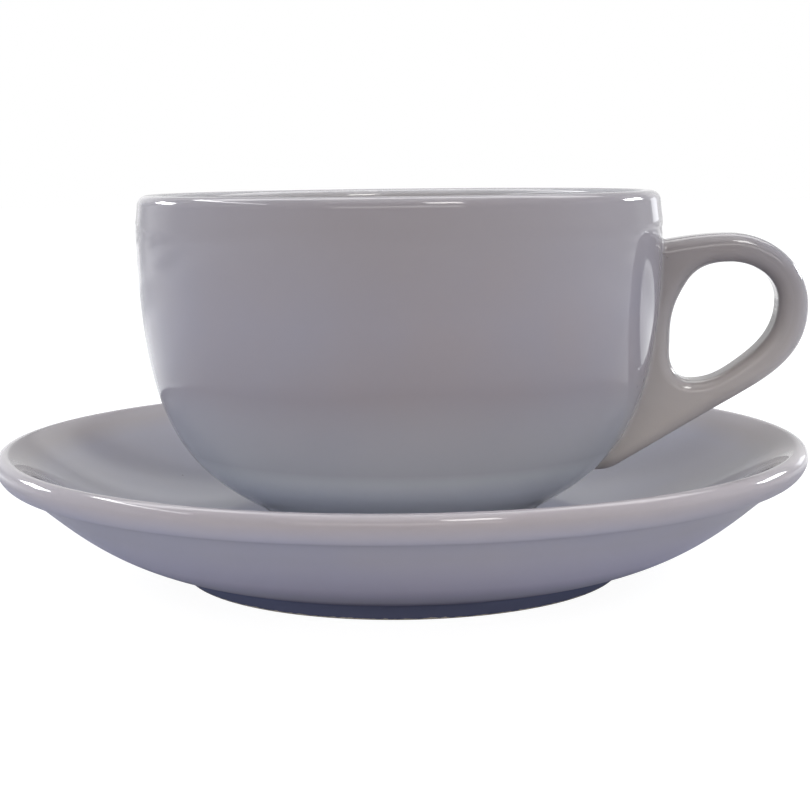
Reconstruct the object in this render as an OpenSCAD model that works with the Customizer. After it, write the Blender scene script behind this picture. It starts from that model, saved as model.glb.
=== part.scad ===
// Cappuccino cup standing on its saucer, in thick glazed porcelain.
// The origin is on the axis of the cup and the saucer, in the plane that the saucer stands on.
// The handle points along +X. All lengths are in millimetres.

/* [Cup] */
// Outside diameter of the bowl where it is widest, a little under the lip
cup_d = 97; // [90:0.2:110]
// Height of the cup from its stand face to the top of the lip
cup_h = 63.6; // [58:0.2:72]
// Thickness of the bowl's wall at the lip, which is rounded over it
rim_wall = 4.6; // [3.6:0.1:5.6]
// Height of the lip above the bowl's widest part
lip_drop = 5; // [4:0.1:8]
// How far the lip leans in from the widest part of the bowl
lip_lean = 0.35; // [0.1:0.05:1]
// Height of the bowl's inside floor above the stand face
floor_z = 8.8; // [7.6:0.1:10]
// Slope of the bowl's underside where it leaves the foot, in degrees
under_slope = 29.8; // [24:0.2:36]

/* [Foot of the cup] */
// Outside diameter of the foot ring
cup_foot_d = 51.2; // [44:0.2:58]
// Height of the foot ring up to the bowl's underside
cup_foot_h = 5.2; // [4.4:0.1:6.4]
// Width of the foot ring
cup_foot_w = 4.2; // [3.2:0.1:5.4]
// Depth of the hollow inside the foot ring
cup_hollow = 3.2; // [2.4:0.1:4.2]

/* [Handle] */
// Height of the loop's top above the cup's stand face
handle_top = 55.6; // [51:0.2:58]
// Thickness of the handle across its flat sides
handle_t = 9.6; // [7:0.1:12]
// Rounding of the handle's outer edges
handle_edge = 2.6; // [1.5:0.1:3.4]
// Rounding of the finger hole's edges
hole_edge = 2.0; // [1.2:0.1:3]
// Width of the finger hole
finger_w = 19.6; // [15:0.2:24]
// Height of the finger hole
finger_h = 21.8; // [18:0.2:25]
// Web between the bowl's widest part and the finger hole
web_t = 1.4; // [0.6:0.1:3]
// Thickness of the loop's upper limb
limb_top = 5.2; // [4:0.1:6.5]
// Thickness of the loop at its outermost
limb_out = 5.5; // [5:0.1:8]
// Thickness of the loop's lower limb
limb_low = 5.0; // [4.4:0.1:7]
// Length of the rounded tip where the tail runs out on the bowl
tail_tip = 4.8; // [3:0.1:7]

/* [Saucer] */
// Outside diameter of the saucer
saucer_d = 150; // [138:0.5:170]
// Height of the saucer to the top of its lip
saucer_h = 24.8; // [22:0.2:30]
// Thickness of the rolled lip
lip_t = 3.6; // [3:0.1:4.6]
// Height of the lip's outer band
lip_h = 5.1; // [4.4:0.1:6]
// Distance that the band stands out past the underside
lip_out = 2.8; // [2:0.1:3.6]
// Height of the dish's floor round the well
dish_floor = 8.4; // [7.6:0.1:9.6]

/* [Well and foot of the saucer] */
// Depth of the well that the cup stands in
well_depth = 1.2; // [0.6:0.1:1.8]
// Gap between the cup's foot and the well's side
well_gap = 1.4; // [0.8:0.1:2.4]
// Width of the well's rounded shoulder
well_shoulder = 1.9; // [1.2:0.1:3]
// Outside diameter of the foot ring
saucer_foot_d = 83; // [76:0.2:92]
// Height of the foot ring
saucer_foot_h = 2.9; // [2.2:0.1:3.4]
// Width of the foot ring
saucer_foot_w = 4.6; // [3.6:0.1:6]
// Depth of the hollow inside the foot ring
saucer_hollow = 2.8; // [2:0.1:3.4]

/* [Edges] */
// Rounding of both foot rings' stand faces
foot_edge = 0.8; // [0.4:0.1:1.2]
// Inward slant of both foot rings' outer walls, over their height
foot_slant = 0.4; // [0:0.1:0.8]

/* [Hidden] */

// Counts of steps along the curves, and of sides round the axis
wall_steps = 22;
edge_steps = 5;
corner_steps = 3;
round_sides = 128;

cup_r = cup_d / 2;
cup_foot_r = cup_foot_d / 2;
saucer_r = saucer_d / 2;
saucer_foot_r = saucer_foot_d / 2;
glaze_grey = [0.56, 0.55, 0.60];
handle_grey = [0.55, 0.53, 0.53];
saucer_grey = [0.58, 0.56, 0.60];

// A curve from a to d that sets out towards b and arrives from c, over the part from share s to share e
function curve(a, b, c, d, n, s = 0, e = 1) =
    [for (i = [0 : n]) let (t = s + (e - s) * i / n, u = 1 - t)
        u*u*u * a + 3 * u*u*t * b + 3 * u*t*t * c + t*t*t * d];
// A round stretch about the point c, with radius r, from angle s to angle e
function arc(c, r, s, e, n) = [for (i = [0 : n]) let (a = s + (e - s) * i / n) c + r * [cos(a), sin(a)]];
function heading(a) = [cos(a), sin(a)];
function backwards(list) = [for (i = [len(list) - 1 : -1 : 0]) list[i]];
// All points of a list but its first, so that two stretches share one point
function rest(list) = [for (i = [1 : len(list) - 1]) list[i]];

// Outer wall of the bowl: from the foot it sets out at under_slope and ends upright at the widest part
widest_z = cup_h - lip_drop;
under_run_share = 0.70;
wall_rise_share = 0.742;
foot_fillet_share = 0.07;
wall_foot = [cup_foot_r, cup_foot_h];
wall_top = [cup_r, widest_z];
under_run = under_run_share * (cup_r - cup_foot_r) * heading(under_slope);
wall_rise = [0, wall_rise_share * (widest_z - cup_foot_h)];
function bowl_wall(n, s = 0, e = 1) =
    curve(wall_foot, wall_foot + under_run, wall_top - wall_rise, wall_top, n, s, e);

// The lip is a half circle as wide as the wall
lip_c = [cup_r - lip_lean - rim_wall / 2, cup_h - rim_wall / 2];

// Foot ring of the cup, with an outer wall that slants in towards the stand face
cup_foot_out = [
    each arc([cup_foot_r - foot_slant - foot_edge, foot_edge], foot_edge, -90, 0, edge_steps),
    each curve(wall_foot - [foot_slant / 2, cup_foot_h / 3], wall_foot, wall_foot,
        bowl_wall(1, foot_fillet_share)[0], edge_steps)];

// Inside of the bowl: flat in the middle of the floor, upright at the top
inner_r = cup_r - rim_wall;
floor_run_share = 0.77;
inner_rise_share = 0.735;
inner_wall = curve([0, floor_z], [floor_run_share * inner_r, floor_z],
    [inner_r, widest_z - inner_rise_share * (widest_z - floor_z)], [inner_r, widest_z], wall_steps);

// Hollow inside the foot ring
cup_foot_in = cup_foot_r - cup_foot_w;
cup_hollow_side = [
    [0, cup_hollow],
    each arc([cup_foot_in - foot_edge, cup_hollow - foot_edge], foot_edge, 90, 0, edge_steps),
    each arc([cup_foot_in + foot_edge, foot_edge], foot_edge, 180, 270, edge_steps)];

bowl_profile = [
    each cup_hollow_side,
    each cup_foot_out,
    each rest(bowl_wall(wall_steps, foot_fillet_share)),
    each arc(lip_c, rim_wall / 2, 0, 180, 2 * edge_steps),
    each backwards(inner_wall)];

// Finger hole, as a loop of anchors: place in shares of its width and height, and heading in degrees
hole_left = cup_r + web_t;
hole_bottom = handle_top - limb_top - finger_h;
hole_anchor_shares = [[0.15, 0.83, 58], [0.554, 1, 0], [1, 0.67, -90], [0.62, 0.137, -144],
    [0.21, 0, -180], [0.035, 0.10, -242], [0, 0.36, -270]];
hole_anchors = [for (s = hole_anchor_shares)
    [hole_left + s[0] * finger_w, hole_bottom + s[1] * finger_h, s[2]]];

// The root of the handle starts inside the bowl's wall, and the wall is cut out of it later
root_depth = rim_wall / 2;
tip_share = 0.27;
tip_wall = bowl_wall(1, tip_share)[0];
tip_root = tip_wall - [root_depth, 0];
top_drop_share = 0.3;
top_root = [cup_r - root_depth, handle_top - top_drop_share * limb_top];

// Outside of the loop, anchored against the finger hole, and the straight tail down to the bowl
top_rise = 8;
low_slope = 35;
out_drop_share = 0.05;
tip_rise_share = 0.22;
tail_share = 0.30;
loop_right = hole_left + finger_w + limb_out;
low_hole = [hole_anchors[3][0], hole_anchors[3][1]];
low_out = low_hole + limb_low * heading(low_slope - 90);
tail_low = tip_wall + tail_tip * [1, tip_rise_share];
tail_turn = 180 + atan2(low_out[1] - tail_low[1], low_out[0] - tail_low[0]);
tail_mid = low_out + tail_share * (tail_low - low_out);
loop_anchors = [
    [top_root[0], top_root[1], top_rise],
    [hole_anchors[1][0], handle_top, 0],
    [loop_right, hole_anchors[2][1] - out_drop_share * finger_h, -90],
    [low_out[0], low_out[1], tail_turn],
    [tail_mid[0], tail_mid[1], tail_turn],
    [tail_low[0], tail_low[1], tail_turn],
    [tip_root[0], tip_root[1], 180]];

// A cubic between two anchors, each with its own heading
hold_share = 0.39;
function between(a, b, n) =
    let (p = [a[0], a[1]], q = [b[0], b[1]], k = hold_share * norm(q - p))
    curve(p, p + k * heading(a[2]), q - k * heading(b[2]), q, n);

// Steps along each stretch of the loop, the same on the hole's side and on the outside
stretch_steps = [8, 10, 9, 6, 9];
tip_steps = 4;
root_steps = 12;
function head(list) = [for (i = [0 : len(list) - 2]) list[i]];
root_line = [for (i = [0 : root_steps - 1]) tip_root + (top_root - tip_root) * i / root_steps];
loop_side = [
    for (k = [0 : 4]) each head(between(loop_anchors[k], loop_anchors[k + 1], stretch_steps[k])),
    each head(between(loop_anchors[5], loop_anchors[6], tip_steps)),
    each root_line];
left_steps = (tip_steps + root_steps) / 2;
hole_side = [
    for (k = [0 : 4]) each head(between(hole_anchors[k], hole_anchors[k + 1], stretch_steps[k])),
    each head(between(hole_anchors[5], hole_anchors[6], left_steps)),
    each head(between(hole_anchors[6], hole_anchors[0], left_steps))];

// The handle's section at one station: a rounded rectangle from the outside to the hole
round_share = 0.42;
function corner(s, y, r, a) =
    [for (i = [0 : corner_steps]) [s, y] + r * heading(a - 90 * i / corner_steps)];
function section(w) =
    let (ro = min(handle_edge, round_share * w), rh = min(hole_edge, round_share * w), h = handle_t / 2)
    [each corner(ro, h - ro, ro, 180), each corner(w - rh, h - rh, rh, 90),
        each corner(w - rh, rh - h, rh, 0), each corner(ro, ro - h, ro, -90)];
function station(o, i) =
    let (w = norm(i - o), u = (i - o) / w)
    [for (p = section(w)) [o[0] + u[0] * p[0], p[1], o[1] + u[1] * p[0]]];

// Underside of the saucer, from its foot out to the lip's band
lip_low = [saucer_r - lip_out, saucer_h - lip_h];
under_foot = [saucer_foot_r, saucer_foot_h];
under_start = 8.8;
under_end = 17.2;
under_start_share = 0.60;
under_end_share = 0.15;
saucer_span = saucer_r - lip_out - saucer_foot_r;
function saucer_under(n, s = 0) =
    curve(under_foot, under_foot + under_start_share * saucer_span * heading(under_start),
        lip_low - under_end_share * saucer_span * heading(under_end), lip_low, n, s);

// Outer face of the lip's band
lip_mid_z = saucer_h - lip_t / 2;
band_out_share = 0.57;
band_up_share = 0.42;
band = curve(lip_low, lip_low + [band_out_share * lip_out, 0],
    [saucer_r, lip_mid_z - band_up_share * (lip_mid_z - lip_low[1])], [saucer_r, lip_mid_z], edge_steps);

// Inside of the dish, from the lip in to the well's shoulder
well_r = cup_foot_r + well_gap;
well_z = dish_floor - well_depth;
dish_in = [saucer_r - lip_t, lip_mid_z];
dish_end = [well_r + well_shoulder, dish_floor];
dish_fall_share = 0.20;
dish_lean_share = 0.06;
dish_run_share = 0.54;
dish_drop = dish_in[1] - dish_floor;
dish_span = dish_in[0] - dish_end[0];
dish_side = curve(dish_in, dish_in - [dish_lean_share * dish_span, dish_fall_share * dish_drop],
    dish_end + [dish_run_share * dish_span, 0], dish_end, wall_steps);
well_side = curve(dish_end, dish_end - [well_shoulder / 2, 0], [well_r + well_shoulder / 2, well_z],
    [well_r, well_z], edge_steps);

// Foot ring of the saucer and the hollow inside it
saucer_foot_in = saucer_foot_r - saucer_foot_w;
saucer_foot_out = [
    each arc([saucer_foot_r - foot_slant - foot_edge, foot_edge], foot_edge, -90, 0, edge_steps),
    each curve(under_foot - [foot_slant / 3, saucer_foot_h / 3], under_foot, under_foot,
        saucer_under(1, foot_fillet_share)[0], edge_steps)];
saucer_hollow_side = [
    [0, saucer_hollow],
    each arc([saucer_foot_in - foot_edge, saucer_hollow - foot_edge], foot_edge, 90, 0, edge_steps),
    each arc([saucer_foot_in + foot_edge, foot_edge], foot_edge, 180, 270, edge_steps)];

saucer_profile = [
    each saucer_hollow_side,
    each saucer_foot_out,
    each rest(saucer_under(wall_steps, foot_fillet_share)),
    each rest(band),
    each rest(arc([saucer_r - lip_t / 2, lip_mid_z], lip_t / 2, 0, 180, 2 * edge_steps)),
    each rest(dish_side),
    each rest(well_side),
    [0, well_z]];

// What the bowl's wall takes out of the handle: an outline of the wall, turned through a few flat facets
// that touch the round wall from outside
facet_turn = 3;
facet_count = 8;
core_share = 0.5;
core_r = core_share * cup_r;
wall_cut = [
    [core_r, cup_foot_h],
    each bowl_wall(wall_steps),
    [core_r, widest_z]];

module cup_bowl() {
    color(glaze_grey)
        translate([0, 0, well_z])
            rotate_extrude($fn = round_sides)
                polygon(bowl_profile);
}

module wall_cutter() {
    m = len(wall_cut);
    points = [for (i = [0 : facet_count]) let (a = facet_turn * (i - facet_count / 2))
        for (p = wall_cut) [p[0] * cos(a) / cos(facet_turn / 2), p[0] * sin(a) / cos(facet_turn / 2), p[1]]];
    faces = [
        [for (j = [m - 1 : -1 : 0]) j],
        [for (j = [0 : m - 1]) facet_count * m + j],
        for (i = [0 : facet_count - 1]) for (j = [0 : m - 1])
            let (row = i * m, next_row = row + m, k = (j + 1) % m)
            [row + j, row + k, next_row + k, next_row + j]];
    polyhedron(points, faces);
}

// The loop and its tail are one flat-sided plate, cut to the bowl's outer face
module cup_handle() {
    stations = [for (i = [0 : len(loop_side) - 1]) station(loop_side[i], hole_side[i])];
    n = len(stations);
    m = len(stations[0]);
    points = [for (s = stations) each s];
    faces = [for (i = [0 : n - 1]) for (j = [0 : m - 1])
        let (row = i * m, next_row = ((i + 1) % n) * m, k = (j + 1) % m)
        each [[row + j, row + k, next_row + k], [row + j, next_row + k, next_row + j]]];
    color(handle_grey)
        translate([0, 0, well_z])
            difference() {
                polyhedron(points, faces);
                wall_cutter();
            }
}

module saucer() {
    color(saucer_grey)
        rotate_extrude($fn = round_sides)
            polygon(saucer_profile);
}

cup_bowl();
cup_handle();
saucer();
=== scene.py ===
# %% [markdown]
# # A cappuccino cup on its saucer
# The real set is three fired pieces of thick white porcelain under one clear glaze: a bowl, a ring handle
# that is stuck on while the clay is wet, and a loose saucer. The imported CAD model gives their sizes and
# places. This lesson rebuilds each piece as a fine numpy surface of the same size, with the soft joints
# and the round edges that the CAD leaves out, glazes them and lights them softly. The frame is loaded
# first, and its box gives the sizes.

# %% Load the fixed frame
import bpy
import numpy as np
from mathutils import Matrix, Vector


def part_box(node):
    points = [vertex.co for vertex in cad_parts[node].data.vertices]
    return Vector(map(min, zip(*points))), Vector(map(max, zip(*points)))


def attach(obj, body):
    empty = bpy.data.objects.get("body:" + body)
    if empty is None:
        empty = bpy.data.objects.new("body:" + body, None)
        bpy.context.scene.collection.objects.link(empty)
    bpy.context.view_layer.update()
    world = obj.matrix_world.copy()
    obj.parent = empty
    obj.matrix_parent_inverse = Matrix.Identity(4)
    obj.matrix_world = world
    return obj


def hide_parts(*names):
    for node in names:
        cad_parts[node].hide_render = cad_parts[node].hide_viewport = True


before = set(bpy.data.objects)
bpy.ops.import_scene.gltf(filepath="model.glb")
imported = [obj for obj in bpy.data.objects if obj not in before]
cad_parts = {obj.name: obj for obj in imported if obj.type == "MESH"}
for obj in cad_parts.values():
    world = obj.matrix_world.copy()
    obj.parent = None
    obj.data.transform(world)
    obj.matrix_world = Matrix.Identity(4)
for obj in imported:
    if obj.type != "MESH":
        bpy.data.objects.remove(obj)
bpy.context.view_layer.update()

# %% [markdown]
# ## Sizes
# Lengths are in millimetres until a mesh is made. The big ones are read from the frame, so the looks
# can't drift away from the CAD. The smaller ones, such as walls and roundings, are the same values that
# the CAD pieces are made from.

# %% Sizes
MM = 0.001


def corners(node):
    """Lowest and highest corner of a CAD node, in millimetres."""
    return [np.array(corner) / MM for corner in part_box(node)]


bowl_low, bowl_high = corners("cup_bowl")
handle_low, handle_high = corners("cup_handle")
saucer_low, saucer_high = corners("saucer")

stand_z = bowl_low[2]
cup_r = bowl_high[0]
cup_h = bowl_high[2] - stand_z
handle_top = handle_high[2] - stand_z
loop_right = handle_high[0]
half_t = handle_high[1]
saucer_r = saucer_high[0]
saucer_h = saucer_high[2]
print(f"cup {2 * cup_r:.1f} wide, {cup_h:.1f} high, stands at {stand_z:.1f}")
print(f"saucer {2 * saucer_r:.1f} wide, {saucer_h:.1f} high")

# %% [markdown]
# ## Lines
# A thrown or pressed piece is one outline turned round an axis, so an outline is all that has to be
# drawn. Four helpers are enough: a cubic that leaves and arrives in set directions, an arc, an arc with
# fuller corners, and a chain that joins stretches.

# %% Helpers for outlines


def heading(degrees):
    """Unit vector at that angle."""
    return np.array([np.cos(np.radians(degrees)), np.sin(np.radians(degrees))])


def curve(a, b, c, d, steps, start=0.0, end=1.0):
    """Cubic from a to d that sets out towards b and arrives from c, over the part from start to end."""
    t = np.linspace(start, end, steps + 1)[:, None]
    a, b, c, d = (np.asarray(p, float) for p in (a, b, c, d))
    return (1 - t) ** 3 * a + 3 * (1 - t) ** 2 * t * b + 3 * (1 - t) * t**2 * c + t**3 * d


def arc(centre, radius, start, end, steps):
    """Round stretch about a centre, from one angle to another, in degrees."""
    angles = np.radians(np.linspace(start, end, steps + 1))
    return np.asarray(centre, float) + radius * np.stack([np.cos(angles), np.sin(angles)], 1)


def squared_arc(centre, radius, start, end, steps, fullness):
    """Like an arc, with each cosine and sine raised to a power below 1, which fills its corners."""
    angles = np.radians(np.linspace(start, end, steps + 1))
    across, rise = np.cos(angles), np.sin(angles)
    filled = np.stack([np.sign(across) * np.abs(across) ** fullness, np.abs(rise) ** fullness], 1)
    return np.asarray(centre, float) + radius * filled


def chain(*stretches):
    """Stretches joined end to end; points closer than a hair to the one before are left out."""
    line = np.vstack([np.atleast_2d(s) for s in stretches])
    keep = np.r_[True, np.linalg.norm(np.diff(line, axis=0), axis=1) > 1e-4]
    return line[keep]


# %% [markdown]
# ## From an outline to a mesh
# Turning an outline is a grid with one row a point and one column a side: x is the radius times the
# cosine of the angle, and y is the radius times its sine. A Screw modifier would do the same, but with
# the grid at hand the poles can be closed with one vertex each. The signed volume of the finished mesh
# says whether its faces point outwards.

# %% Helpers for meshes


def make_piece(name, points, faces, body, nodes, slot):
    """Object from points in millimetres and faces as index rows, riding on a body in the place of CAD nodes.

    A mesh's signed volume is a sixth of the sum of each face's first corner dotted with the cross product
    of the next two; the quads alone give its sign, and where it is negative all faces are turned round.
    """
    corners_of = points[faces[0][:, :3]]
    volume = np.einsum("ij,ij->i", corners_of[:, 0], np.cross(corners_of[:, 1], corners_of[:, 2])).sum()
    turned = [rows if volume > 0 else rows[:, ::-1] for rows in faces]
    mesh = bpy.data.meshes.new(name)
    mesh.from_pydata((points * MM).tolist(), [], [row for rows in turned for row in rows.tolist()])
    mesh.shade_smooth()
    piece = bpy.data.objects.new(name, mesh)
    bpy.context.scene.collection.objects.link(piece)
    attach(piece, body)
    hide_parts(*nodes)
    print(f"{name}: {len(points)} points, {sum(len(rows) for rows in faces)} faces, rides on {body}")
    return piece


def turned_surface(outline, sides):
    """Points and faces of an outline turned round the axis; one point closes it at each end, on the axis.

    x is the radius times the cosine of the angle, y is the radius times its sine, z is the height.
    """
    around = np.linspace(0, 2 * np.pi, sides, endpoint=False)
    rings = outline[1:-1]
    grid = np.stack([np.outer(rings[:, 0], np.cos(around)), np.outer(rings[:, 0], np.sin(around)),
                     np.repeat(rings[:, 1:2], sides, 1)], 2)
    poles = [[0, 0, outline[0, 1]], [0, 0, outline[-1, 1]]]
    points = np.vstack([grid.reshape(-1, 3), poles])
    index = np.arange(len(rings) * sides).reshape(len(rings), sides)
    ahead = np.roll(index, -1, 1)
    quads = np.stack([index[:-1], ahead[:-1], ahead[1:], index[1:]], 2).reshape(-1, 4)
    first, last = len(points) - 2, len(points) - 1
    fans = np.vstack([np.stack([np.full(sides, first), ahead[0], index[0]], 1),
                      np.stack([np.full(sides, last), index[-1], ahead[-1]], 1)])
    return points, [quads, fans]


# %% [markdown]
# ## The bowl
# The bowl is pressed between a mould and a spinning tool, so it is truly round. Its outside leaves the
# foot ring at a low slope and comes upright just under the lip. The wall is thick, the lip is a half
# circle as wide as the wall with slightly fuller corners, and the inside runs down into a flat floor. The
# foot ring is left hollow, so that the cup stands on a ring and not on a disc. Cubics would also draw the
# lip, but a squared arc needs only one number.

# %% Sizes of the bowl
SIDES = 288
rim_wall = 4.6
lip_drop = 5.0
lip_lean = 0.35
lip_fullness = 0.82
floor_z = 8.8
under_slope = 29.8
cup_foot_r = 25.6
cup_foot_h = 5.2
cup_foot_w = 4.2
cup_hollow = 3.2
foot_edge = 0.8
foot_slant = 0.4
under_run_share = 0.70
wall_rise_share = 0.742
foot_fillet_share = 0.07
floor_run_share = 0.77
inner_rise_share = 0.735
print(f"bowl: wall {rim_wall} mm, foot ring {2 * cup_foot_r:.1f} mm wide")

# %% [markdown]
# Outside, the wall is one cubic from the foot ring to the widest part, and inside it is another from
# there to the middle of the floor. The foot ring is a function of its own, because the saucer stands on
# the same kind of ring.

# %% Outline of the bowl
widest_z = cup_h - lip_drop
inner_r = cup_r - rim_wall
wall_foot = np.array([cup_foot_r, cup_foot_h])
wall_top = np.array([cup_r, widest_z])


def bowl_wall(steps, start=0.0, end=1.0):
    """Outside of the bowl from the foot to its widest part: radius, and height over the cup's stand face."""
    run = under_run_share * (cup_r - cup_foot_r) * heading(under_slope)
    rise = np.array([0, wall_rise_share * (widest_z - cup_foot_h)])
    return curve(wall_foot, wall_foot + run, wall_top - rise, wall_top, steps, start, end)


def foot_ring(outer, width, height, hollow, slant_share, upper):
    """Outline of a foot ring from the axis out: the hollow's roof, the stand face and the outer side."""
    inner = outer - width
    side = np.array([outer, height])
    return chain(
        [0, hollow], [0.3 * inner, hollow], [0.7 * inner, hollow],
        arc([inner - foot_edge, hollow - foot_edge], foot_edge, 90, 0, 8),
        arc([inner + foot_edge, foot_edge], foot_edge, 180, 270, 8),
        arc([outer - foot_slant - foot_edge, foot_edge], foot_edge, -90, 0, 8),
        curve(side - [foot_slant * slant_share, height / 3], side, side, upper, 10))


lip_centre = [cup_r - lip_lean - rim_wall / 2, cup_h - rim_wall / 2]
inner_wall = curve([inner_r, widest_z], [inner_r, widest_z - inner_rise_share * (widest_z - floor_z)],
                   [floor_run_share * inner_r, floor_z], [0, floor_z], 80)
bowl_outline = chain(
    foot_ring(cup_foot_r, cup_foot_w, cup_foot_h, cup_hollow, 1 / 2, bowl_wall(1, foot_fillet_share)[0]),
    bowl_wall(76, foot_fillet_share),
    squared_arc(lip_centre, rim_wall / 2, 0, 180, 40, lip_fullness),
    inner_wall)
bowl_outline[:, 1] += stand_z
bowl = make_piece("bowl", *turned_surface(bowl_outline, SIDES), "cup", ["cup_bowl"], "bowl_glaze")

# %% [markdown]
# ## The saucer
# The saucer is pressed the same way. Its underside spreads from the foot ring to a band that stands out
# under a rolled lip. The dish leaves the lip without a crease and falls in one sweep, and a shallow well
# with a round shoulder keeps the cup from sliding. The shares below say how far each cubic holds its
# first and last direction.

# %% Sizes of the saucer
lip_t = 3.6
lip_h = 5.1
lip_out = 2.8
dish_floor = 8.4
well_r = 27.0
well_shoulder = 1.9
saucer_foot_r = 41.5
saucer_foot_h = 2.9
saucer_foot_w = 4.6
saucer_hollow = 2.8
under_start_share, under_start_slope = 0.60, 8.8
under_end_share, under_end_slope = 0.15, 17.2
band_start_share, band_end_share = 0.57, 0.42
lip_turn = 114.0
dish_start_share, dish_end_share = 0.20, 0.54
print(f"saucer: lip {lip_t} mm thick in a band {lip_h} mm high, well {2 * well_r:.0f} mm wide")

# %% Outline of the saucer
lip_low = np.array([saucer_r - lip_out, saucer_h - lip_h])
lip_mid_z = saucer_h - lip_t / 2
under_foot = np.array([saucer_foot_r, saucer_foot_h])
under_span = saucer_r - lip_out - saucer_foot_r


def saucer_under(steps, start=0.0):
    """Underside of the saucer from its foot to the band."""
    first = under_start_share * under_span * heading(under_start_slope)
    last = under_end_share * under_span * heading(under_end_slope)
    return curve(under_foot, under_foot + first, lip_low - last, lip_low, steps, start)


band = curve(lip_low, lip_low + [band_start_share * lip_out, 0],
             [saucer_r, lip_mid_z - band_end_share * (lip_mid_z - lip_low[1])], [saucer_r, lip_mid_z], 14)
lip_mid = np.array([saucer_r - lip_t / 2, lip_mid_z])
dish_in = lip_mid + lip_t / 2 * heading(lip_turn)
dish_end = np.array([well_r + well_shoulder, dish_floor])
dish_span = dish_in[0] - dish_end[0]
dish_side = curve(dish_in, dish_in + dish_start_share * dish_span * heading(lip_turn + 90),
                  dish_end + [dish_end_share * dish_span, 0], dish_end, 64)
well_side = curve(dish_end, dish_end - [well_shoulder / 2, 0], [well_r + well_shoulder / 2, stand_z],
                  [well_r, stand_z], 12)
saucer_outline = chain(
    foot_ring(saucer_foot_r, saucer_foot_w, saucer_foot_h, saucer_hollow, 1 / 3,
              saucer_under(1, foot_fillet_share)[0]),
    saucer_under(52, foot_fillet_share),
    band,
    arc(lip_mid, lip_t / 2, 0, lip_turn, 22),
    dish_side,
    well_side,
    [0.7 * well_r, stand_z], [0.35 * well_r, stand_z], [0, stand_z])
saucer = make_piece("saucer_dish", *turned_surface(saucer_outline, SIDES), "saucer", ["saucer"],
                    "saucer_glaze")

# %% [markdown]
# ## The handle
# The handle is cast as a flat-sided ring with a tail and stuck to the bowl with slip, which leaves a soft
# hollow joint all round its root. A curve with a bevel can't turn from a ring into a tail, so the handle
# is a grid: one row for each station round the finger hole, one column for each point of a rounded
# section between the outside line and the hole's line.

# %% Sizes of the handle
finger_w = 19.6
finger_h = 21.8
web_t = 1.4
limb_top = 5.2
limb_low = 5.0
tail_tip = 4.8
tail_slope = 0.22
tail_hold = 0.30
tip_place = 0.27
top_root_drop = 0.3 * limb_top
top_root_slope = 8
right_drop = 0.05 * finger_h
low_heading = 35
root_depth = rim_wall / 2
root_deepest = 2.2
hold_share = 0.39
print(f"handle: finger hole {finger_w} by {finger_h} mm, {2 * half_t:.1f} mm thick")

# %% [markdown]
# The finger hole is a closed chain of cubics through seven points, which are shares of its width and
# height, and each point has its own heading. A spline through the points would be shorter to write, but
# it can't be told where to run straight.

# %% Points of the finger hole
hole_left = cup_r + web_t
hole_bottom = handle_top - limb_top - finger_h
hole_shares = np.array([[0.15, 0.83], [0.554, 1], [1, 0.67], [0.62, 0.137], [0.21, 0], [0.035, 0.10],
                        [0, 0.36]])
hole_headings = [58, 0, -90, -144, -180, -242, -270]
hole_points = [hole_left, hole_bottom] + hole_shares * [finger_w, finger_h]


def between(p, p_heading, q, q_heading, steps):
    """Cubic between two points, each with its own heading in degrees, without the last point."""
    hold = hold_share * np.linalg.norm(q - p)
    return curve(p, p + hold * heading(p_heading), q - hold * heading(q_heading), q, steps)[:-1]


# %% [markdown]
# The outside line starts inside the bowl's wall, runs over the top of the loop, down its right side and
# along the straight tail, and ends inside the wall again. The root closes it. It follows the bowl's own
# outline some way under it and is bent in a little at the middle, so that the stations never cross each
# other.

# %% Points of the outside
tip_wall = bowl_wall(1, tip_place)[0]
tip_root = tip_wall - [root_depth, 0]
top_root = np.array([cup_r - root_depth, handle_top - top_root_drop])
low_out = hole_points[3] + limb_low * heading(low_heading - 90)
tail_low = tip_wall + tail_tip * np.array([1, tail_slope])
tail_turn = 180 + np.degrees(np.arctan2(*(low_out - tail_low)[::-1]))
outer_points = [top_root, np.array([hole_points[1, 0], handle_top]),
                np.array([loop_right, hole_points[2, 1] - right_drop]),
                low_out, low_out + tail_hold * (tail_low - low_out), tail_low, tip_root]
outer_headings = [top_root_slope, 0, -90, tail_turn, tail_turn, tail_turn, 180]
wall_line = bowl_wall(400)
ROOT = 96
root_z = np.linspace(tip_root[1], top_root[1], ROOT + 1)[:-1]
root_share = (root_z - tip_root[1]) / (top_root[1] - tip_root[1])
root_sag = root_deepest * np.sin(np.pi * root_share) ** 2
root_r = np.interp(root_z, wall_line[:, 1], wall_line[:, 0]) - root_depth - root_sag
root_line = np.stack([root_r, root_z], 1)
print(f"root: {ROOT} stations, bent in by {root_sag.max():.1f} mm")

# %% Both lines of the handle
STEPS = [60, 70, 58, 40, 64, 32]
outer_line = np.vstack([between(outer_points[k], outer_headings[k],
                                outer_points[k + 1], outer_headings[k + 1], n)
                        for k, n in enumerate(STEPS)] + [root_line])
half_root = (STEPS[5] + len(root_line)) // 2
hole_steps = STEPS[:5] + [half_root, half_root]
hole_next = np.roll(np.arange(7), -1)
hole_line = np.vstack([between(hole_points[k], hole_headings[k], hole_points[hole_next[k]],
                               hole_headings[hole_next[k]], n)
                       for k, n in enumerate(hole_steps)])
print(f"handle: {len(outer_line)} stations outside, {len(hole_line)} at the hole")

# %% [markdown]
# A rounded section has six stretches: two flat edges, two flat sides and the corners between them. Each
# of its points is written as shares, so that the whole grid comes from one product of stations and
# shares: how far across it lies, how deep it is inset from the outside line and from the hole's line, and
# how far out along Y. The same table says which way the surface faces there, which the joint with the
# bowl needs.

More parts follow.
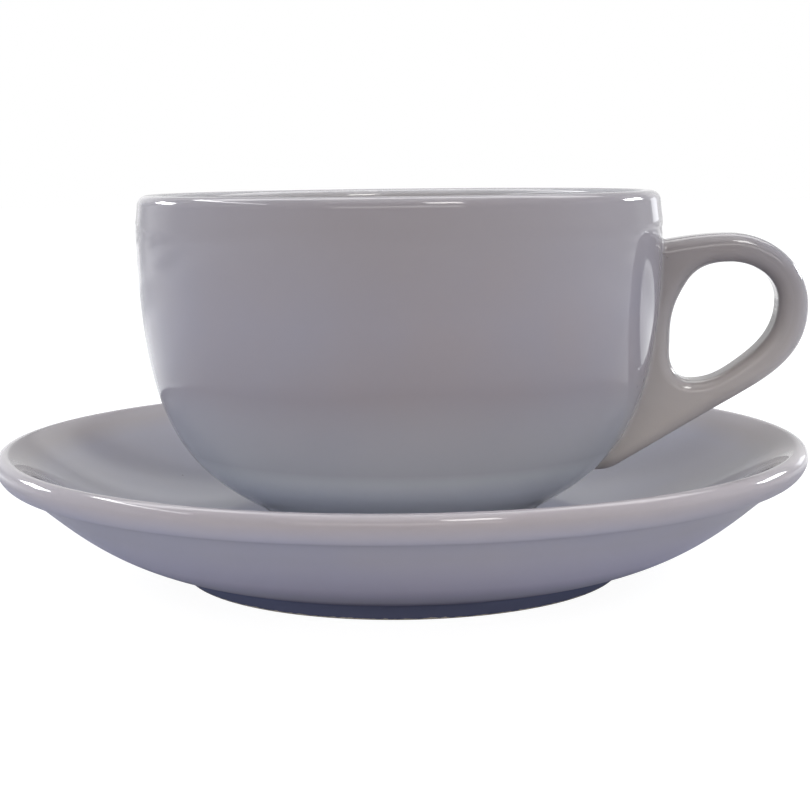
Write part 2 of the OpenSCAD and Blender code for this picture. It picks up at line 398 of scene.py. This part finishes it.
# %% Section of the handle
CORNER, SIDE, EDGE = 9, 66, 6
outer_round = 2.6
hole_round = 2.4
outer_most, hole_most = 0.46, 0.42
buried_start, buried_span = 0.3, 1.5
root_share_of_round = 0.1


def facing(line):
    """Unit normals to the right of a closed line's direction."""
    along = np.roll(line, -1, 0) - np.roll(line, 1, 0)
    across = np.stack([along[:, 1], -along[:, 0]], 1)
    return across / np.linalg.norm(across, axis=1, keepdims=True)


def section_shares():
    """Rows of a section: across, inset outside and at the hole, three shares of Y, three of the normal.

    A corner turns through a right angle: its inset is 1 less the cosine, and its rise is the sine.
    """
    turn = np.radians(np.linspace(0, 90, CORNER + 1))
    rise, fall = np.sin(turn), 1 - np.cos(turn)
    one, none = np.ones_like(turn), np.zeros_like(turn)
    outer = np.stack([none, fall, none, one, rise - 1, none, np.cos(turn), none, rise], 1)
    inner = np.stack([one, none, fall, one, none, rise - 1, none, np.cos(turn), rise], 1)[::-1]
    across = np.linspace(0, 1, SIDE + 1)[1:-1, None]
    side = np.hstack([across, np.tile([1, 1, 1, 0, 0, 0, 0, 1], (len(across), 1))])
    half = np.vstack([outer, side, inner])
    f = np.linspace(1, -1, EDGE + 1)[1:-1, None]
    zero, full = np.zeros_like(f), np.ones_like(f)
    hole_edge = np.hstack([full, zero, zero, f, zero, -f, zero, full, zero])
    outer_edge = np.hstack([zero, zero, zero, -f, f, zero, full, zero, zero])
    mirrored = half[::-1] * [1, 1, 1, -1, -1, -1, 1, 1, -1]
    return np.vstack([half, hole_edge, mirrored, outer_edge])


shares = section_shares()
print(f"section: {len(shares)} points")

# %% [markdown]
# The handle's corners are rounded by about a quarter of its thickness, less where it is narrow, and
# hardly at all inside the bowl's wall, where a big rounding would only pull the root apart. So the
# distance to the bowl has to be known.

# %% Grid of the handle


def off_wall(points):
    """Distance of points to the bowl's outside, and the wall's normals there.

    The distance is the radius less the wall's radius at that height, over the length of (1, wall's slope).
    """
    r = np.hypot(points[..., 0], points[..., 1])
    lean = np.interp(points[..., 2], wall_line[:, 1], np.gradient(wall_line[:, 0], wall_line[:, 1]))
    steep = np.sqrt(1 + lean**2)
    distance = (r - np.interp(points[..., 2], wall_line[:, 1], wall_line[:, 0])) / steep
    normal = np.stack([points[..., 0] / r, points[..., 1] / r, -lean], -1) / steep[..., None]
    return distance, normal


width = np.linalg.norm(outer_line - hole_line, axis=1)
outer_in, hole_in = facing(outer_line), -facing(hole_line)
buried = off_wall(np.stack([outer_line[:, 0], 0 * width, outer_line[:, 1]], 1))[0]
outer_radius = np.minimum(outer_round, outer_most * width)
outer_radius *= np.clip(1 + (buried + buried_start) / buried_span, root_share_of_round, 1)
outer_radius[len(outer_line) - ROOT:] = root_share_of_round * outer_round
hole_radius = np.minimum(hole_round, hole_most * width)


def over(column, values):
    """One column of the section's shares times a value for each station."""
    return shares[None, :, column, None] * np.asarray(values)[:, None]


ro, rh = outer_radius[:, None], hole_radius[:, None]
flat = (1 - shares[None, :, 0, None]) * (outer_line[:, None] + over(1, outer_in * ro)) \
    + shares[None, :, 0, None] * (hole_line[:, None] + over(2, hole_in * rh))
out_y = (over(3, np.full_like(ro, half_t)) + over(4, ro) + over(5, rh))[..., 0]
plate = np.stack([flat[..., 0], out_y, flat[..., 1]], 2)
lie = over(6, -outer_in) + over(7, -hole_in)
plate_normal = np.stack([lie[..., 0], np.broadcast_to(shares[:, 8], out_y.shape), lie[..., 1]], 2)
plate_normal /= np.linalg.norm(plate_normal, axis=2, keepdims=True)
print(f"handle grid {plate.shape[0]} by {plate.shape[1]}")

# %% [markdown]
# ## The joint
# Slip fills the corner between handle and bowl with a hollow rounding. Where two faces meet at an angle
# g, a rounding of radius r touches each at r times the tangent of g/2 from their edge and is r times g
# long. So each point of the plate that is nearer to the bowl than that is wrapped onto the arc at its own
# distance along it. Points further in are left inside the wall, where nothing shows. The arc ends a hair
# under the glaze, so no rim or gap is seen. A Boolean with a bevel would do it too, but it would leave
# ragged triangles on the part that the eye follows most.

# %% Joint of the handle and the bowl
joint_r = 0.8
skirt = 0.9
sink = 0.0015
skirt_bend = 0.05
widest_angle = 2.2


def dot(a, b):
    """Products of two fields of vectors, kept as a last axis of one."""
    return np.sum(a * b, axis=-1, keepdims=True)


def wrapped(points, normal):
    """Points of the plate with those near the bowl moved onto the joint's rounding.

    With phi the angle turned so far, a point moves along the plate to reach - r sin phi from the bowl and
    off the plate by r (1 - cos phi). Past the rounding it follows a short skirt that ends in the bowl's wall.
    """
    distance, wall_normal = off_wall(points)
    facing_share = dot(normal, wall_normal)
    angle = np.arccos(np.clip(facing_share, -1, 1))
    away = wall_normal - facing_share * normal
    steepness = np.maximum(np.linalg.norm(away, axis=-1, keepdims=True), 1e-3)
    away = away / steepness
    along = distance[..., None] / steepness
    reach = joint_r * np.tan(np.minimum(angle, widest_angle) / 2)
    phi = np.clip((reach - along) / joint_r, 0, angle)
    past = reach - joint_r * angle - along
    moved = points + away * (reach - joint_r * np.sin(phi) - along)
    moved += normal * joint_r * (1 - np.cos(phi))
    moved += (normal * np.sin(angle) - away * np.cos(angle)) * np.clip(past, 0, skirt)
    gap, wall_normal = off_wall(moved)
    share = (phi / np.maximum(angle, 1e-3)) ** 2
    moved -= wall_normal * share * (gap[..., None] + sink + skirt_bend * np.clip(past, 0, skirt) ** 2)
    near = (along < reach) & (past < skirt) & (angle < widest_angle)
    return np.where(near, moved, points)


# %% Handle
joined = wrapped(plate, plate_normal)
joined[..., 2] += stand_z
rows, columns = joined.shape[:2]
index = np.arange(rows * columns).reshape(rows, columns)
after = np.roll(index, -1, 0)
quads = np.stack([index, after, np.roll(after, -1, 1), np.roll(index, -1, 1)], 2)
handle = make_piece("handle", joined.reshape(-1, 3), [quads.reshape(-1, 4)], "cup", ["cup_handle"],
                    "handle_glaze")

# %% [markdown]
# ## Shader arithmetic
# A procedural finish is arithmetic on coordinates. One small class wraps an output socket, so that a
# Python expression on it adds the Math nodes, and one method adds any other node with its settings first
# and its sockets after.

# %% Wires


class Wire:
    """One output socket of a node tree, with arithmetic on it."""

    def __init__(self, tree, socket=None):
        self.tree = tree
        self.socket = socket

    def node(self, kind, settings=None, sockets=None, out=0):
        """Adds a node of that kind: settings first, then the values or links of its sockets."""
        made = self.tree.nodes.new(kind)
        for name, value in (settings or {}).items():
            setattr(made, name, value)
        for key, value in (sockets or {}).items():
            if isinstance(value, Wire):
                self.tree.links.new(value.socket, made.inputs[key])
            else:
                made.inputs[key].default_value = value
        return Wire(self.tree, made.outputs[out])

    def math(self, operation, *others):
        """A Math node on this wire and others."""
        return self.node("ShaderNodeMath", {"operation": operation}, dict(enumerate([self, *others])))

    def __add__(self, other):
        return self.math("ADD", other)

    def __sub__(self, other):
        return self.math("SUBTRACT", other)

    def __mul__(self, other):
        return self.math("MULTIPLY", other)

    __radd__, __rmul__ = __add__, __mul__

    def __rsub__(self, other):
        return self.node("ShaderNodeMath", {"operation": "SUBTRACT"}, {0: other, 1: self})

    def __gt__(self, other):
        return self.math("GREATER_THAN", other)

    def clip(self):
        """This wire held between 0 and 1."""
        return self.node("ShaderNodeClamp", {}, {0: self})

    def mix(self, low, high):
        """Colour between low, where this wire is 0, and high, where it is 1."""
        return self.node("ShaderNodeMix", {"data_type": "RGBA"}, {0: self, 6: low, 7: high}, 2)


def new_material(name):
    """A material that has no nodes yet, and a wire to build them with."""
    material = bpy.data.materials.new(name)
    material.use_nodes = True
    material.node_tree.nodes.clear()
    return material, Wire(material.node_tree)


def finish_material(material, shader):
    """Adds the material's output node and links a shader to it."""
    output = material.node_tree.nodes.new("ShaderNodeOutputMaterial")
    material.node_tree.links.new(shader.socket, output.inputs["Surface"])
    return material


# %% [markdown]
# ## The glaze
# Porcelain glaze is a clear glass coat on a dense pale body, so the body's colour is matt and soft and
# the coat gives the sharp reflections: a Principled shader with a coat and no other gloss is that pair.
# The coat is never flat. It lies in slow waves and has a fine skin like orange peel, its tint drifts a
# little, and here and there a grain shows through as a faint dot.
#
# The tint also follows the shape. Each piece is paler low on its outside, and the bowl palest in a band
# low down and paler on its inside: that is painted light. A lip turns warmer, which is painted warm light.
# The underside of the saucer is less glossy, darker towards the foot and darkest on the foot ring, which is
# painted shade. The stand face is wiped bare before firing, so below a wavering line the finish turns to
# rough clay. Heights and the direction of the surface are enough to say all this, so no map has to be
# painted. How strong each tint is was fitted to the photograph.

# %% Values that the glazes share
LIGHT_CLAY = (0.34, 0.31, 0.27, 1)
SPECK = (0.125, 0.12, 0.135, 1)
# Painted shade under the saucer and on its foot.
PAINTED_FOOT_SHADE = (0.057, 0.063, 0.108, 1)
# Painted light inside the bowl.
PAINTED_INSIDE_LIGHT = (0.285, 0.272, 0.278, 1)
SLOW, FINE, GRAIN = 22.0, 95.0, 900.0
LONG_WAVES, ORANGE_PEEL = 60.0, 420.0
LONG_WAVE_H, ORANGE_PEEL_H, CLAY_H = 0.11 * MM, 0.006 * MM, 0.04 * MM
SPECK_CELLS, SPECK_SIZE, SPECK_SHARE = 300.0, 0.075, 0.018
# Shares and heights in mm of the painted light low on the bowl and inside it.
BRIGHTEST, BRIGHTEST_SHARE, BRIGHTEST_LOW = 1.6, 0.85, 12.0
INSIDE_TOP = 60.0
# Heights in mm of the painted shade under the saucer and on its foot.
UNDER_SHADE_TOP, UNDER_SHADE_SPAN = 9.5, 8.4
FOOT_SHADE_TOP, FOOT_SHADE_SPAN = 3.0, 0.4
MOST = 0.9
COAT, COAT_IOR, COAT_ROUGHNESS = 0.9, 1.36, 0.035
BODY_ROUGHNESS, CLAY_ROUGHNESS = 0.16, 0.85

# %% Where a shaded point lies


class Spot:
    """A shaded point: its object coordinates, its height, and how far its surface faces up, from -1 to 1.

    below is 1 where the surface faces down, and slow and fine are noises from 0 to 1.
    """

    def __init__(self, wire):
        self.wire = wire
        self.place = wire.node("ShaderNodeTexCoord", {}, {}, 3)
        self.surface = Wire(wire.tree, self.place.socket.node.outputs["Normal"])
        self.height = wire.node("ShaderNodeSeparateXYZ", {}, {0: self.place}, 2)
        self.upward = wire.node("ShaderNodeSeparateXYZ", {}, {0: self.surface}, 2)
        self.below = (0.2 - self.upward * 4.0).clip()
        self.slow, self.fine = self.noise(SLOW), self.noise(FINE)

    def noise(self, scale, detail=2.0):
        """Smooth noise from 0 to 1, about as many waves to the metre as the scale says."""
        return self.wire.node("ShaderNodeTexNoise", {}, {
            "Vector": self.place, "Scale": scale, "Detail": detail})

    def under(self, z, span):
        """0 at a height in mm and 1 that span below it, not held in."""
        return (z * MM - self.height) * (1 / (span * MM))

    def over(self, z, span):
        """0 at a height in mm and 1 that span above it, not held in."""
        return (self.height - z * MM) * (1 / (span * MM))

    def inward(self):
        """1 where the surface faces the axis: -60 times the dot product of place and normal, both level."""
        level = [self.wire.node("ShaderNodeVectorMath", {"operation": "MULTIPLY"}, {0: source, 1: (1, 1, 0)})
                 for source in (self.place, self.surface)]
        dotted = self.wire.node(
            "ShaderNodeVectorMath", {"operation": "DOT_PRODUCT"}, dict(enumerate(level)), 1)
        return (dotted * -60.0).clip()


# %% [markdown]
# The tint is built in layers: the body with the painted warm light on a lip, the painted light inside the
# bowl, the painted light low on the outside, and last the painted shade under the saucer and on its foot.
# Each layer is a mask from 0 to 1 and one Mix node.

# %% Layers of the tint


def glazed(at, colour, drift, lip):
    """Colour that wavers to its drift in slow noise and turns warmer above a height: painted warm light."""
    wavering = (at.slow * 1.6 - 0.3 + (at.fine - 0.5) * 0.5).clip()
    # Painted warm light: the tint turns warmer above the lip's height.
    lip_z, lip_span, warm_lip_colour = lip
    warm_lip_mask = at.over(lip_z, lip_span).clip() * MOST
    return warm_lip_mask.mix(wavering.mix((*colour, 1), (*drift, 1)), (*warm_lip_colour, 1))


def paint_inside_light(at, body, inside):
    """The body, paler by a share where the surface faces the axis or is the bowl's floor: painted light."""
    # Painted light on the inside of the bowl.
    bottom = at.under(INSIDE_TOP, 5.0).clip() * (at.upward * 2.0).clip()
    return ((at.inward() + bottom).clip() * inside).mix(body, PAINTED_INSIDE_LIGHT)


def paint_low_light(at, body, low_light_colour, low_light_top, brightest_z, outside_only):
    """The body, paler below a height on the outside and palest in a band under a second: painted light."""
    # Painted light: paler low on the outside, palest in a band under a second height.
    outside = (1 - at.upward * outside_only).clip()
    low_light_mask = (at.under(low_light_top, 0.6 * low_light_top) + (at.slow - 0.5) * 0.3).clip() * outside
    brightest_mask = at.under(brightest_z, 5.0).clip() * at.over(BRIGHTEST_LOW, 5.0).clip() * outside * BRIGHTEST_SHARE
    brightest_colour = (*(BRIGHTEST * np.array(low_light_colour)), 1)
    return brightest_mask.mix(low_light_mask.mix(body, (*low_light_colour, 1)), brightest_colour)


def paint_underside_shade(at, body, under_shade):
    """The body, darker by a share towards the foot of an underside and darkest on the foot ring: painted
    shade.
    """
    # Painted shade: darker towards the foot of an underside, darkest on the foot ring.
    under_shade_mask = at.under(UNDER_SHADE_TOP, UNDER_SHADE_SPAN).clip() * at.below * MOST * under_shade
    edge = (at.under(FOOT_SHADE_TOP, FOOT_SHADE_SPAN) + (at.fine - 0.5) * 1.5).clip()
    foot_shade_mask = edge * (1 - at.upward * 3.0).clip() * under_shade * MOST
    return foot_shade_mask.mix(under_shade_mask.mix(body, PAINTED_FOOT_SHADE), PAINTED_FOOT_SHADE)


def specks(at):
    """1 in a few small dots: the middles of the Voronoi cells whose random colour is among the highest."""
    cells = at.wire.node("ShaderNodeTexVoronoi", {}, {"Vector": at.place, "Scale": SPECK_CELLS})
    cell_colour = Wire(at.wire.tree, cells.socket.node.outputs["Color"])
    chance = at.wire.node("ShaderNodeSeparateColor", {}, {0: cell_colour})
    return ((SPECK_SIZE - cells) * 40.0).clip() * (chance > 1 - SPECK_SHARE)


# %% Glaze


def glaze(name, colour, drift, clay_z, low_light_colour, low_light_top, brightest_z=-1.0, outside_only=4.0,
          under_gloss=1.0, under_shade=0.0, inside=0.0, lip=(1000.0, 1.0, (0, 0, 0))):
    """Glazed porcelain; heights are in mm.

    colour and drift are the tints that it wavers between, and clay_z is the height of the bare clay.
    Below one height it turns paler, to another colour, and palest in a band under a second height:
    painted light.
    outside_only is how sharply that painted light ends where the surface turns up; 0 lets it reach round
    the piece.
    under_gloss is how glossy an underside is; the next two numbers are how strong the painted shade
    under it and the painted light on the piece's inside are.
    lip is the height where a warmer tint begins, over how many mm, and that tint: painted warm light.
    """
    material, wire = new_material(name)
    at = Spot(wire)
    tint = paint_inside_light(at, glazed(at, colour, drift, lip), inside)
    tint = paint_underside_shade(at, paint_low_light(at, tint, low_light_colour, low_light_top, brightest_z, outside_only), under_shade)
    grain = at.noise(GRAIN, 3.0)
    clay = (at.under(clay_z, 1 / 9) + (grain - 0.5) * 5.4).clip()
    finish = clay.mix(specks(at).mix(tint, SPECK), LIGHT_CLAY)
    rough = (BODY_ROUGHNESS + (at.fine - 0.5) * 0.14) * (1 - clay) + clay * CLAY_ROUGHNESS
    waves = (at.noise(LONG_WAVES, 1.0) * LONG_WAVE_H + at.noise(ORANGE_PEEL, 1.0) * ORANGE_PEEL_H
             + grain * clay * CLAY_H)
    normal = wire.node("ShaderNodeBump", {}, {"Strength": 1.0, "Distance": 1.0, "Height": waves})
    gloss = (1 - clay) * (1 - at.below * (1 - under_gloss)) * COAT
    shader = wire.node("ShaderNodeBsdfPrincipled", {}, {
        "Base Color": finish, "Roughness": rough, "Specular IOR Level": 0.0, "Normal": normal,
        "Coat Weight": gloss, "Coat Roughness": COAT_ROUGHNESS, "Coat IOR": COAT_IOR})
    print(f"{name}: {len(material.node_tree.nodes)} nodes")
    return finish_material(material, shader)


# %% [markdown]
# The three pieces are of one batch, so their tints are close. In the photograph the handle looks a little
# warmer and the saucer a little bluer than the bowl, and that difference is painted light. The numbers are
# linear colour values.

# %% Glaze the pieces
# The bowl's low colour, palest band, pale inside and warmer top are painted light.
bowl.data.materials.append(glaze(
    "bowl_glaze", (0.206, 0.199, 0.229), (0.221, 0.198, 0.208), clay_z=stand_z + 0.4,
    low_light_colour=(0.355, 0.375, 0.405), low_light_top=38.0, brightest_z=24.5, inside=1.0,
    lip=(50.0, 16.0, (0.205, 0.189, 0.199))))
# The handle's warmer tint and its paler low colour are painted light.
handle.data.materials.append(glaze(
    "handle_glaze", (0.197, 0.188, 0.202), (0.214, 0.195, 0.194), clay_z=-1.0,
    low_light_colour=(0.365, 0.342, 0.336), low_light_top=56.0, outside_only=0.0))
# The saucer's bluer tint, low colour and warm lip are painted light; its underside gets painted shade.
saucer.data.materials.append(glaze(
    "saucer_glaze", (0.252, 0.249, 0.303), (0.274, 0.260, 0.282), clay_z=0.4,
    low_light_colour=(0.308, 0.298, 0.386), low_light_top=16.0, under_gloss=0.2, under_shade=1.0,
    lip=(saucer_h - 4.4, 2.6, (0.260, 0.235, 0.242))))

# %% [markdown]
# ## Floor and world
# The floor is plain and pale. For the camera and for glass it is lifted to white, as a cut-out photograph
# has it, and what it keeps of its own shading is the cup's shadow. The world is a plain pale light, and
# it is white to them too.
#
# A glaze mirrors the whole room, so what reflections see matters as much as the lamps. Behind the cup
# they see the same white. On the camera's side a real room is darker, and soft large patches stand for
# the things in it. All of this depends on where a ray goes and not on where the camera is, so it stays
# put in other views.

# %% Floor
floor_half = 3.0
floor_mesh = bpy.data.meshes.new("floor")
floor_corners = floor_half * np.array([(-1, -1, 0), (1, -1, 0), (1, 1, 0), (-1, 1, 0)])
floor_mesh.from_pydata(floor_corners.tolist(), [], [(0, 1, 2, 3)])
floor = bpy.data.objects.new("floor", floor_mesh)
bpy.context.scene.collection.objects.link(floor)
print(f"floor {2 * floor_half:.0f} m square")

# %% What each kind of ray sees
ROOM = 0.3
PATCH_SCALE = 3.2
PATCH_START, PATCH_CONTRAST = 0.42, 5.0
PATCH_LOW, PATCH_RANGE = 0.8, 0.5


def seen_white(tree, direction, plain, faint, white_level):
    """Plain shader for soft light, white for the camera and glass, a dimmer room ahead for reflections.

    Reflections see ROOM ahead and 1 behind, by the y part of the unit direction, times slow patches.
    """
    wire = Wire(tree)
    rays = wire.node("ShaderNodeLightPath").socket.node.outputs
    camera, glossy, glass = (
        Wire(tree, rays[name]) for name in ("Is Camera Ray", "Is Glossy Ray", "Is Transmission Ray"))
    away = wire.node("ShaderNodeVectorMath", {"operation": "NORMALIZE"}, {0: direction})
    behind = ((wire.node("ShaderNodeSeparateXYZ", {}, {0: away}, 1) + 0.35) * 1.1).clip()
    patches = wire.node(
        "ShaderNodeTexNoise", {}, {"Vector": direction, "Scale": PATCH_SCALE, "Detail": 0.0})
    patchy = ((patches - PATCH_START) * PATCH_CONTRAST).clip() * PATCH_RANGE + PATCH_LOW
    room = (ROOM + (1 - ROOM) * behind) * patchy
    glow = wire.node("ShaderNodeEmission", {}, {
        "Color": (1, 1, 1, 1), "Strength": (camera + glass).clip() * white_level + glossy * room})
    lifted = wire.node("ShaderNodeAddShader", {}, {0: faint, 1: glow})
    seen = (camera + glass + glossy).clip()
    return wire.node("ShaderNodeMixShader", {}, {0: seen, 1: plain, 2: lifted})


# %% [markdown]
# The floor's shader adds a faint diffuse part to the white, which is what shows the shadow. It is a
# little below white near the cup, because the faint part adds light there, and reaches white further out.

# %% Floor paint
PALE_FLOOR = (0.58, 0.58, 0.62, 1)
FAINT_FLOOR = (0.18, 0.18, 0.18, 1)
WHITE_NEAR, WHITE_GAIN = 0.94, 0.07
floor_paint, wire = new_material("floor_paint")
pale = wire.node("ShaderNodeBsdfDiffuse", {}, {"Color": PALE_FLOOR})
faint = wire.node("ShaderNodeBsdfDiffuse", {}, {"Color": FAINT_FLOOR})
spot = wire.node("ShaderNodeTexCoord", {}, {}, 3)
far_out = (wire.node("ShaderNodeVectorMath", {"operation": "LENGTH"}, {0: spot}, 1) * 3.0 - 0.4).clip()
floor.data.materials.append(finish_material(floor_paint, seen_white(
    wire.tree, spot, pale, faint, far_out * WHITE_GAIN + WHITE_NEAR)))
print(f"floor_paint: {len(floor_paint.node_tree.nodes)} nodes")

# %% World
WORLD_COLOUR, WORLD_STRENGTH = (0.97, 0.98, 1.0, 1), 0.12
world = bpy.data.worlds.new("plain_light")
bpy.context.scene.world = world
world.use_nodes = True
world.node_tree.nodes.clear()
wire = Wire(world.node_tree)
light = wire.node("ShaderNodeBackground", {}, {"Color": WORLD_COLOUR, "Strength": WORLD_STRENGTH})
none = wire.node("ShaderNodeBackground", {}, {"Color": (0, 0, 0, 1), "Strength": 0.0})
both = seen_white(wire.tree, wire.node("ShaderNodeTexCoord"), light, none, 1.0)
world_output = world.node_tree.nodes.new("ShaderNodeOutputWorld")
world.node_tree.links.new(both.socket, world_output.inputs["Surface"])
print(f"world: {len(world.node_tree.nodes)} nodes")

# %% [markdown]
# ## Lamps
# Each lamp is a soft panel, given by how bright its face looks rather than by its power, because that is
# what a glaze mirrors: power is brightness times pi times area. Seven broad panels light the porcelain
# evenly, warmer from the front and cooler from the sides, and reflections don't see them. Eight others
# stand for windows and a strip light, and only reflections see those: they draw the lines on the lips and
# the glints on the handle. Keeping the two kinds apart is what lets each glint be placed without changing
# the light.

# %% Lamps
CUP_MIDDLE = np.array([0.0, 0.0, 0.045])


def panel(name, azimuth, climb_to, distance, size, brightness, colour, only_glints=False):
    """A soft panel turned to the cup: azimuth from the camera's side to the right, climb up from the floor.

    Its place is the cup's middle plus the distance times (sin a cos c, -cos a cos c, sin c). Either
    only reflections see it, or all but reflections.
    """
    turn, lift = np.radians(azimuth), np.radians(climb_to)
    back = np.array([np.sin(turn) * np.cos(lift), -np.cos(turn) * np.cos(lift), np.sin(lift)])
    side = np.cross([0, 0, 1], back)
    side /= np.linalg.norm(side)
    data = bpy.data.lights.new(name, "AREA")
    data.shape = "RECTANGLE"
    data.size, data.size_y = size
    data.energy = brightness * np.pi * size[0] * size[1]
    data.color = colour
    lamp = bpy.data.objects.new(name, data)
    bpy.context.scene.collection.objects.link(lamp)
    columns = np.stack([side, np.cross(back, side), back, CUP_MIDDLE + distance * back], 1)
    lamp.matrix_world = Matrix(np.vstack([columns, [0, 0, 0, 1]]).tolist())
    lamp.visible_camera = False
    lamp.visible_diffuse = not only_glints
    lamp.visible_glossy = only_glints
    print(f"{name}: {data.energy:.2f} W")


# %% [markdown]
# Each row is a name, the azimuth and climb in degrees, the distance and the size in metres, the
# brightness and the colour.

# %% Panels
SOFT_LIGHT = [
    ("overhead", 0, 89, 1.1, (0.9, 0.9), 2.5, (1.0, 0.99, 0.98)),
    ("front", 0, 24, 1.2, (1.0, 0.35), 3.4, (1.0, 0.94, 0.87)),
    ("side_left", -100, 42, 1.1, (0.7, 0.6), 6.5, (0.77, 0.87, 1.0)),
    ("side_right", 100, 42, 1.1, (0.7, 0.6), 7.8, (0.86, 0.92, 1.0)),
    ("low_front", 0, 4.5, 1.0, (1.6, 0.10), 9.6, (1.0, 0.93, 0.84)),
    ("low_left", -74, 5, 1.1, (0.9, 0.28), 8.0, (0.78, 0.87, 1.0)),
    ("low_right", 74, 5, 1.1, (0.9, 0.28), 6.0, (0.84, 0.91, 1.0)),
]
SEEN_IN_GLAZE = [
    ("window_left", -122, 20, 1.3, (0.36, 0.18), 34.0, (0.96, 0.98, 1.0)),
    ("window_right", 127, 16, 1.3, (0.38, 0.16), 34.0, (0.96, 0.98, 1.0)),
    ("window_strip", -100, 45, 1.2, (1.3, 0.07), 17.0, (0.98, 0.99, 1.0)),
    ("window_edge", 147, 5, 0.9, (0.16, 0.14), 1.5, (0.93, 0.95, 1.0)),
    ("window_back", 180, 62, 1.2, (1.8, 0.55), 5.0, (1.0, 1.0, 1.0)),
    ("window_above", 0, 78, 1.2, (0.9, 0.9), 1.6, (1.0, 1.0, 0.99)),
    ("window_wide", 4, 20, 1.2, (1.2, 0.24), 4.5, (1.0, 0.98, 0.94)),
    ("window_front", 27, 48, 1.2, (0.26, 0.28), 24.0, (1.0, 0.99, 0.96)),
]
for row in SOFT_LIGHT:
    panel(*row)
for row in SEEN_IN_GLAZE:
    panel(*row, only_glints=True)

# %% [markdown]
# ## Camera
# The photograph was taken from close by, a little above the rim and nearly square to the handle. The lens
# and the place below reproduce the ellipses of the rim, the lip and the foot, and a slight turn about the
# lens's axis is kept. All of it is done by placing the camera, so nothing has to be shifted in the
# picture. Its angles are in radians, and the focal length is first given in pixels of a frame 810 wide,
# as it was measured.

# %% Camera
reach_mm = 326.0
eye_mm = 75.75
handle_turn = np.radians(4.0)
pitch, roll, yaw = 0.1367, 0.011, 0.0022
focal_px = 1745.0
frame_px = 810.0
sensor_mm = 36.0

ahead_turn = handle_turn - yaw
level = np.array([-np.sin(ahead_turn), np.cos(ahead_turn), 0])
ahead = np.cos(pitch) * level - np.sin(pitch) * np.array([0, 0, 1])
right = np.array([np.cos(ahead_turn), np.sin(ahead_turn), 0])
up = np.cross(right, ahead)
right_rolled = np.cos(roll) * right - np.sin(roll) * up
up_rolled = np.cos(roll) * up + np.sin(roll) * right
eye = np.array([reach_mm * np.sin(handle_turn), -reach_mm * np.cos(handle_turn), eye_mm]) * MM
camera_data = bpy.data.cameras.new("camera")
camera_data.sensor_width = sensor_mm
camera_data.lens = focal_px / frame_px * sensor_mm
camera_data.clip_start = 0.01
camera = bpy.data.objects.new("camera", camera_data)
bpy.context.scene.collection.objects.link(camera)
columns = np.stack([right_rolled, up_rolled, -ahead, eye], 1)
camera.matrix_world = Matrix(np.vstack([columns, [0, 0, 0, 1]]).tolist())
bpy.context.scene.camera = camera
bpy.context.scene.view_settings.view_transform = "Standard"
print(f"lens {camera_data.lens:.1f} mm at {[round(float(c), 4) for c in eye]}")
